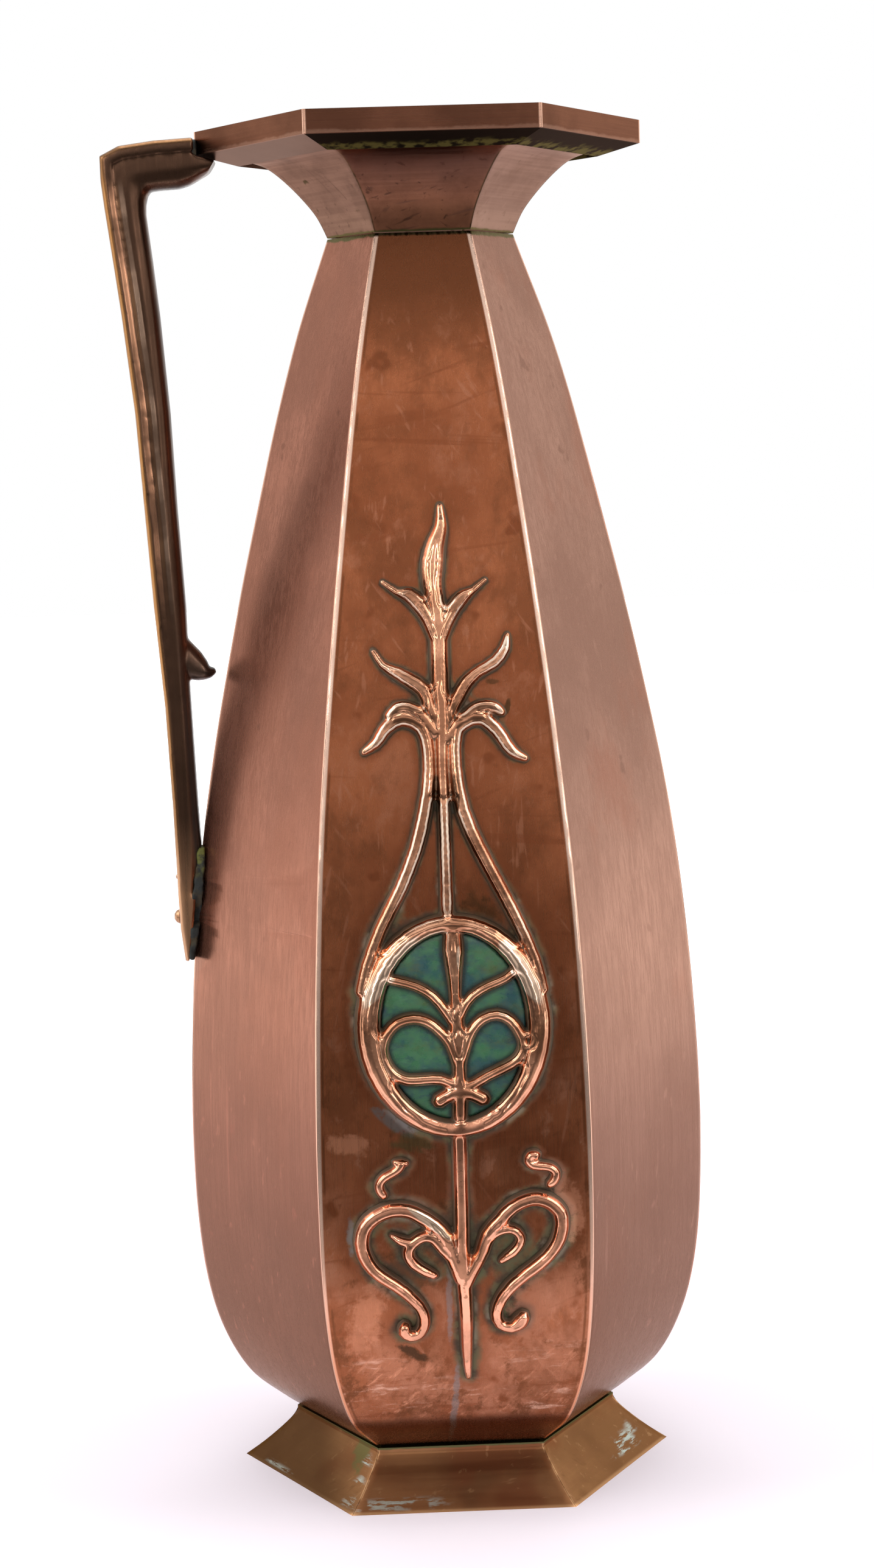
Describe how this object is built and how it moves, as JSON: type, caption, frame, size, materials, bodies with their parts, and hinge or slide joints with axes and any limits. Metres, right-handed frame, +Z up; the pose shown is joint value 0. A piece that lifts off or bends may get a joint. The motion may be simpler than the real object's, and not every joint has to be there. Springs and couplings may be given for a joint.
{
  "type": "ewer",
  "caption": "Tall hexagonal copper ewer with flared lip, folded rim, corner handle, hemmed foot and an applied relief round an oval enamel plaque.",
  "frame": {"origin": "under the middle of the whole object's box, on the surface that it stands on", "axes": "+Z up, the panel with the relief faces -Y, the handle is on the -X side"},
  "size_m": [0.1616, 0.1318, 0.38],
  "materials": {
    "copper_front": "brushed dark reddish copper",
    "copper_side": "brushed copper",
    "lip_copper": "brown brushed copper",
    "foot_copper": "olive-brown patina",
    "handle_bronze": "dark bronze-brown with bright edges",
    "ornament_copper": "polished copper with green recesses",
    "enamel": "mottled opaque green enamel"
  },
  "bodies": {
    "root": {"body_panel_front": "copper_front", "body_panel_front_right": "copper_side", "body_panel_back_right": "copper_side", "body_panel_back": "copper_side", "body_panel_back_left": "copper_side", "body_panel_front_left": "copper_side", "lip_panel_front": "lip_copper", "lip_panel_front_right": "lip_copper", "lip_panel_back_right": "lip_copper", "lip_panel_back": "lip_copper", "lip_panel_back_left": "lip_copper", "lip_panel_front_left": "lip_copper", "rim_strip_front": "lip_copper", "rim_strip_front_right": "lip_copper", "rim_strip_back_right": "lip_copper", "rim_strip_back": "lip_copper", "rim_strip_back_left": "lip_copper", "rim_strip_front_left": "lip_copper", "foot_panel_front": "foot_copper", "foot_panel_front_right": "foot_copper", "foot_panel_back_right": "foot_copper", "foot_panel_back": "foot_copper", "foot_panel_back_left": "foot_copper", "foot_panel_front_left": "foot_copper", "base_plate": "foot_copper", "handle_strap": "handle_bronze", "handle_grip": "handle_bronze", "handle_rivet": "handle_bronze", "tail_pin": "handle_bronze", "ornament_pressing": "ornament_copper", "enamel_plaque": "enamel", "curl_left": "ornament_copper", "curl_right": "ornament_copper"}
  },
  "joints": []
}
